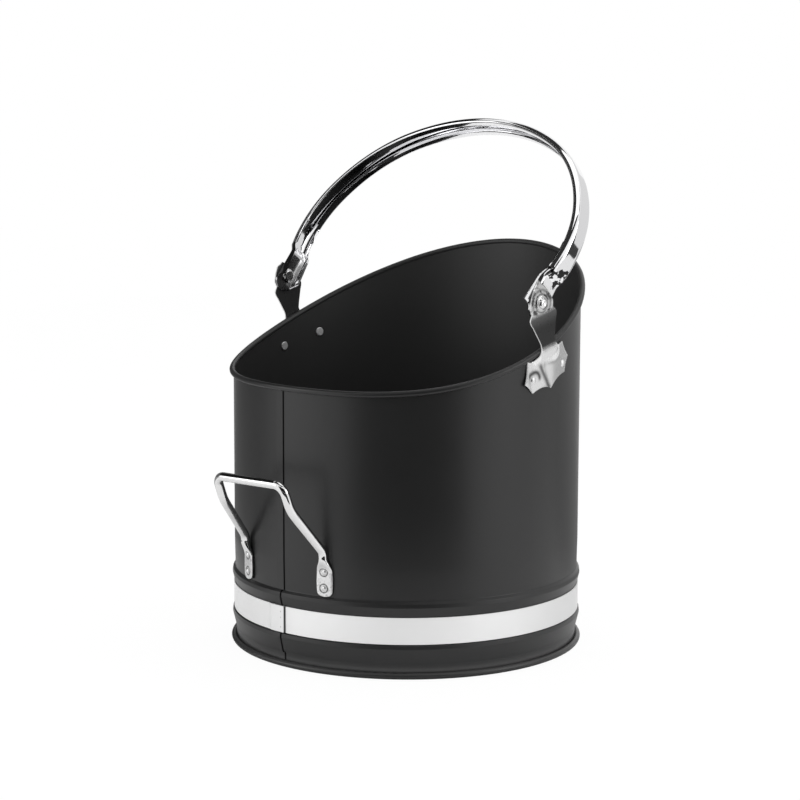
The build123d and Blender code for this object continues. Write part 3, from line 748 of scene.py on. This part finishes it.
for step in range(1, 11):
    up = tab_shoulder + (tab_end - tab_shoulder) * math.sin(math.pi / 2 * step / 10)
    half = math.sqrt(max(tab_round**2 - (up - tab_end - tab_round) ** 2, 0.0))
    stations.append((tab_x, up, math.pi / 2, max(half, tab_tip_half), bail_sheet, bail_sheet, 0.0, 0.0))
loops = [channel_loop(*station[3:]) for station in stations]
columns = len(loops[0]) - 1


def bail_point(u, v):
    """Point of the bail's surface, u round the section and v from the crown to the tab."""
    row, column = round(v * (len(stations) - 1)), round(u * columns)
    across, out = loops[row][column]
    x, up, turn = stations[row][:3]
    on_tab = turn > 1.5
    on_inner_face = column > columns // 2
    if on_tab and on_inner_face and abs(across) < 10.0:
        fillet = (max(abs(across) - 4.0, 0.0) / 6.0) ** 2
        out -= 2.5 * fillet * ease(-8.0, 2.0, up)
    if on_tab and up > tab_top and abs(across) < 9.0:
        dish = math.sin(math.pi * min((up - tab_top) / 24.0, 1.0)) * (1.0 - (across / 9.0) ** 2)
        out -= 0.9 * dish * (0.6 + 0.4 * math.sin(up * 0.9 + across))
    x += math.sin(turn) * out
    up += math.cos(turn) * out
    spot = Vector((x * bail_draw_in, 0.0, pivot_height)) + bail_up * up - bail_normal * across
    return tuple(spot)


bail = shaped_grid("rolled_bail", columns, len(stations) - 1, bail_point)
weld(bail)
bpy.ops.object.mode_set(mode="EDIT")
bpy.ops.mesh.select_mode(type="EDGE")
bpy.ops.mesh.select_all(action="DESELECT")
bpy.ops.object.mode_set(mode="OBJECT")
lowest = min(vertex.co.dot(bail_up) for vertex in bail.data.vertices) + 0.0000005
for edge in bail.data.edges:
    edge.select = all(bail.data.vertices[i].co.dot(bail_up) < lowest for i in edge.vertices)
bpy.ops.object.mode_set(mode="EDIT")
bpy.ops.mesh.edge_face_add()
bpy.ops.object.mode_set(mode="OBJECT")
apply_modifier(bail, "MIRROR", use_axis=(True, False, False), use_clip=True, merge_threshold=0.00001)
weld(bail)
for side in (1.0, -1.0):
    bore(bail, 3.08, 20.0, side * 165.5)
smooth(bail, 40.0)

polished = Finish("polished_plate")
ripple = polished.noise(30.0, 1.0)
bail_side, bail_depth, bail_height = polished.axes()
bail_rising = bail_depth * math.sin(bail_lean) + (bail_height - pivot_height) * math.cos(bail_lean)
bail_aside = (bail_height - pivot_height) * math.sin(bail_lean) - bail_depth * math.cos(bail_lean)
# Dark blotches on the right arm, near its tab, from thresholded noise.
dark_blotches = polished.noise(200.0, 4.0) + bail_rising.hump(30.0, 12.0) * 0.35 + bail_aside.step(5.0, -7.0) * 0.12
dark_blotches = dark_blotches.step(0.855, 0.885) * bail_side.step(150.0, 154.0)
facing_across, _, _ = polished.normal()
# The left tab's inner face is painted darker, as painted shade, and made rougher.
tab_shade_and_rough = bail_rising.step(32.0, 14.0) * bail_side.step(-100.0, -110.0) * facing_across.step(0.6, 0.9)
bail_tone = polished.blend(dark_blotches, (0.88, 0.88, 0.89, 1.0), 0.03)
bail_tone = polished.blend(tab_shade_and_rough * 0.9, bail_tone, 0.16)
polished_surface = polished.surface(
    bail_tone,
    1.0,
    0.04 + ripple * 0.03 + tab_shade_and_rough * 0.22,
    polished.bump(0.12, 0.0004, ripple),
)
bail.data.materials.append(polished.finish_with(polished_surface))
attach(bail, "bail")
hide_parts("bail")

# Grab handle: round rod bent to a loop, its feet hammered flat and rounded, then plated and
# riveted to the wall. The photographed one is bent slightly out of level, and its feet are dinted.
grab_turn = math.radians(17.9)
rod_radius, rod_line, rod_square = 4.15, 169.5, 2.0
foot_line, foot_half, foot_thick, foot_square = 166.3, 7.9, 1.2, 4.5
foot_low, foot_shoulder, foot_tip, foot_flat = 72.6, 78.2, 5.6, 15.8
neck_low, neck_length, neck_out = 94.0, 15.0, 3.2
bar_lift, bar_tilt = 2.6, 0.027


def grab_spot(radius, height):
    """Point on the line of the handle's right foot."""
    return Vector((radius * math.sin(grab_turn), -radius * math.cos(grab_turn), height))


def bent_path(points, radii, steps=10):
    """Points along straight legs joined by arcs of the given radii."""
    found = [points[0]]
    for before, corner, after, radius in zip(points, points[1:], points[2:], radii):
        arriving, leaving = (corner - before).normalized(), (after - corner).normalized()
        half_turn = arriving.angle(leaving) / 2.0
        reach = radius * math.tan(half_turn)
        inward = (leaving - arriving).normalized()
        centre = corner + inward * (radius / math.cos(half_turn))
        start = corner - arriving * reach - centre
        axis = arriving.cross(leaving).normalized()
        for step in range(steps + 1):
            found.append(centre + Matrix.Rotation(2.0 * half_turn * step / steps, 3, axis) @ start)
    return found + [points[-1]]


# Rows from the foot's tip to the bar's middle: place, half width, half thickness and squareness.
grab_rows = []
for step in range(11):
    height = foot_low + foot_tip * (1.0 - math.cos(math.pi / 2 * step / 10))
    width = foot_half * max(1.0 - ((foot_shoulder - height) / foot_tip) ** 2.5, 0.0) ** 0.4
    grab_rows.append((grab_spot(foot_line, height), width, foot_thick, foot_square))
for step in range(1, 7):
    height = foot_shoulder + foot_flat * step / 6
    width = foot_half + 0.3 * math.sin(math.pi * step / 6)
    grab_rows.append((grab_spot(foot_line, height), width, foot_thick, foot_square))
for step in range(1, 15):
    share = step / 14
    narrow, thick = ease(0.12, 1.0, share), ease(0.05, 0.95, share)
    grab_rows.append((
        grab_spot(foot_line + neck_out * thick, neck_low + neck_length * share),
        foot_half + (rod_radius - foot_half) * narrow,
        foot_thick + (rod_radius - foot_thick) * thick,
        foot_square - (foot_square - rod_square) * ease(0.1, 0.8, share),
    ))
foot_count = len(grab_rows)
rod_points = [
    grab_spot(rod_line, 109.0),
    grab_spot(rod_line, 114.0),
    Vector((44.8, -194.7, 153.2)),
    Vector((44.1, -203.6, 176.0)),
    Vector((0.0, -203.6, 176.0)),
]
for spot in bent_path(rod_points, (12.0, 34.0, 10.0))[1:]:
    grab_rows.append((spot, rod_radius, rod_radius, rod_square))

width_way = Vector((math.cos(grab_turn), math.sin(grab_turn), 0.0))
grab_frames = []
for index in range(len(grab_rows)):
    if index < foot_count:
        ahead = Vector((0.0, 0.0, 1.0))
    elif index == len(grab_rows) - 1:
        ahead = Vector((-1.0, 0.0, 0.0))
    else:
        ahead = (grab_rows[index + 1][0] - grab_rows[index - 1][0]).normalized()
    width_way = (width_way - ahead * width_way.dot(ahead)).normalized()
    grab_frames.append((width_way.copy(), ahead.cross(width_way)))


def power(value, exponent):
    """Signed power, which squares up a round section."""
    return math.copysign(abs(value) ** exponent, value)


def grab_point(u, v):
    """Point of the handle's surface, u round the section and v from the foot to the middle."""
    row = round(v * (len(grab_rows) - 1))
    spot, width, thick, square = grab_rows[row]
    across, out = grab_frames[row]
    turn = 2.0 * math.pi * u
    sideways = across * (width * power(math.cos(turn), 2.0 / square))
    return tuple(spot + sideways + out * (thick * power(math.sin(turn), 2.0 / square)))


grab_handle = shaped_grid("bent_grab_handle", 32, len(grab_rows) - 1, grab_point)
weld(grab_handle)
apply_modifier(grab_handle, "MIRROR", use_axis=(True, False, False), use_clip=True, merge_threshold=0.00001)
weld(grab_handle)
for vertex in grab_handle.data.vertices:
    vertex.co.z += (bar_lift * MM + bar_tilt * vertex.co.x) * ease(115.0, 170.0, vertex.co.z / MM)
smooth(grab_handle, 50.0)

rod_plate = Finish("plated_rod")
rod_waves = rod_plate.noise(70.0, 2.0)
rod_specks = rod_plate.noise(900.0, 2.0)
across, depth, height = rod_plate.axes()
on_foot = height.step(103.0, 93.0)
rod_dints = rod_waves + rod_plate.noise(330.0, 3.0) * on_foot * 0.5
foot_marks_and_rivet_shade = rod_plate.noise(420.0, 3.0).step(0.45, 0.70) * on_foot * 0.55
# Round each rivet on the feet, a ring of painted shade.
for node in ("grab_rivet_right_low", "grab_rivet_right_high", "grab_rivet_left_low", "grab_rivet_left_high"):
    low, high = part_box(node)
    middle = [(a + b) * 500.0 for a, b in zip(low, high)]
    rivet_radius = (high[2] - low[2]) * 500.0
    squares = [(part - centre) ** 2.0 for part, centre in zip((across, depth, height), middle)]
    from_rivet = (squares[0] + squares[1] + squares[2]) ** 0.5
    foot_marks_and_rivet_shade = foot_marks_and_rivet_shade + from_rivet.hump(rivet_radius + 0.5, 0.45) * 1.6
rod_surface = rod_plate.surface(
    rod_plate.blend(foot_marks_and_rivet_shade * 0.6, 0.80, 0.05),
    1.0,
    0.04 + rod_specks * 0.04 + on_foot * 0.26,
    rod_plate.bump(0.25, 0.0005, rod_dints),
)
grab_handle.data.materials.append(rod_plate.finish_with(rod_surface))
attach(grab_handle, "bucket")
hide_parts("grab_handle")
